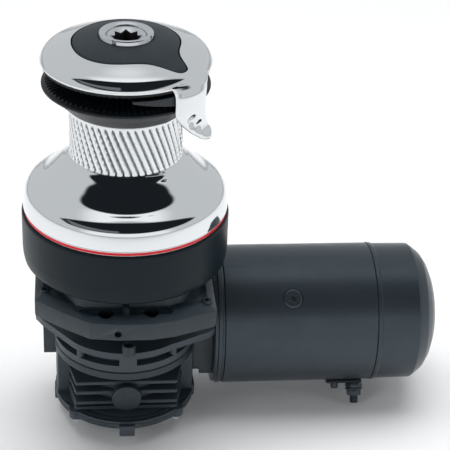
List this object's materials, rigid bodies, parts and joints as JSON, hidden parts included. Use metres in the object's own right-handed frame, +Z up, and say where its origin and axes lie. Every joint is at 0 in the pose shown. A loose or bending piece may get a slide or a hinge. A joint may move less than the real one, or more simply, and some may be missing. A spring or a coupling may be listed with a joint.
{
  "type": "electric self-tailing sailboat winch",
  "caption": "Self-tailing sheet winch with a fluted chrome drum on a black base, driven from below by a finned worm gearbox and a horizontal electric motor.",
  "frame": {"origin": "centre of the flat foot under the gearbox cover, on the winch axis", "axes": "+Z up along the winch axis towards the handle socket, +X along the motor towards its closed end, -Y towards the side with the rope peeler and the cooling fins"},
  "size_m": [0.3594, 0.1797, 0.3553],
  "materials": {
    "chrome": "polished chrome",
    "satin_steel": "satin",
    "gear_steel": "machined",
    "bronze": "machined bronze",
    "copper": "turned copper",
    "black_casting": "black coated casting",
    "black_anodised": "black anodised",
    "black_base": "satin black",
    "motor_steel": "satin black paint",
    "black_plastic": "satin",
    "grey_plastic": "matt",
    "red_trim": "gloss",
    "carbon": "matt"
  },
  "bodies": {
    "fixed_frame": {"gear_housing": "black_casting", "housing_plug": "black_casting", "bottom_cover": "black_casting", "adapter_flange": "black_casting", "winch_base": "black_base", "trim_ring": "red_trim", "centre_stem": "satin_steel", "idler_spindle": "gear_steel", "drum_bearing_lower": "satin_steel", "drum_bearing_upper": "satin_steel", "rope_peeler": "grey_plastic", "top_cap": "chrome", "cap_insert": "black_plastic", "cap_ring": "satin_steel", "motor_flange": "motor_steel", "motor_tube": "motor_steel", "end_cap": "motor_steel", "brush_holder": "black_plastic", "terminal_insulator": "black_plastic", "terminal_stud": "motor_steel", "terminal_nut_inner": "motor_steel", "terminal_washer": "motor_steel", "terminal_nut_outer": "motor_steel", "side_terminal": "motor_steel", "cover_screw_1": "satin_steel", "adapter_screw_1": "satin_steel", "cover_screw_2": "satin_steel", "adapter_screw_2": "satin_steel", "cover_screw_3": "satin_steel", "adapter_screw_3": "satin_steel", "cover_screw_4": "satin_steel", "adapter_screw_4": "satin_steel", "pole_screw_1": "satin_steel", "pole_shoe_1": "gear_steel", "brush_1": "carbon", "pole_screw_2": "satin_steel", "pole_shoe_2": "gear_steel", "brush_2": "carbon", "output_bearing_lower": "satin_steel", "output_bearing_upper": "satin_steel", "worm_bearing_far": "satin_steel", "worm_bearing_near": "satin_steel", "motor_bearing_front": "satin_steel", "motor_bearing_rear": "satin_steel"},
    "motor_rotor": {"worm_shaft": "gear_steel", "armature": "gear_steel", "commutator": "copper"},
    "drive_shaft": {"main_shaft": "satin_steel", "centre_gear": "gear_steel", "output_shaft": "gear_steel", "worm_wheel": "bronze"},
    "idler": {"idler_gear": "bronze"},
    "drum_group": {"drum": "chrome", "ring_gear": "gear_steel", "jaw_hub": "black_anodised", "upper_jaw": "black_plastic", "jaw_spring_1": "satin_steel", "jaw_spring_2": "satin_steel", "jaw_spring_3": "satin_steel"},
    "sprung_jaw": {"lower_jaw": "black_plastic"}
  },
  "joints": [
    {"name": "motor_spin", "type": "hinge", "parent": "fixed_frame", "child": "motor_rotor", "pos_m": [0.14, 0.03, 0.0615], "axis": [1, 0, 0], "continuous": true},
    {"name": "main_shaft_spin", "type": "hinge", "parent": "fixed_frame", "child": "drive_shaft", "pos_m": [0, 0, 0.2], "axis": [0, 0, 1], "continuous": true},
    {"name": "idler_spin", "type": "hinge", "parent": "fixed_frame", "child": "idler", "pos_m": [0, 0.046, 0.18], "axis": [0, 0, 1], "continuous": true},
    {"name": "drum_spin", "type": "hinge", "parent": "fixed_frame", "child": "drum_group", "pos_m": [0, 0, 0.24], "axis": [0, 0, 1], "continuous": true},
    {"name": "jaw_slide", "type": "slide", "parent": "drum_group", "child": "sprung_jaw", "axis": [0, 0, 1], "range_m": [-0.003, 0], "stiffness_N_per_m": 4000, "springref_m": 0.002, "deforming": ["jaw_spring_1", "jaw_spring_2", "jaw_spring_3"]}
  ],
  "couplings": [
    {"joint": "main_shaft_spin", "follows": "motor_spin", "ratio": 0.045455},
    {"joint": "drum_spin", "follows": "motor_spin", "ratio": -0.0074941},
    {"joint": "idler_spin", "follows": "motor_spin", "ratio": -0.026646}
  ]
}
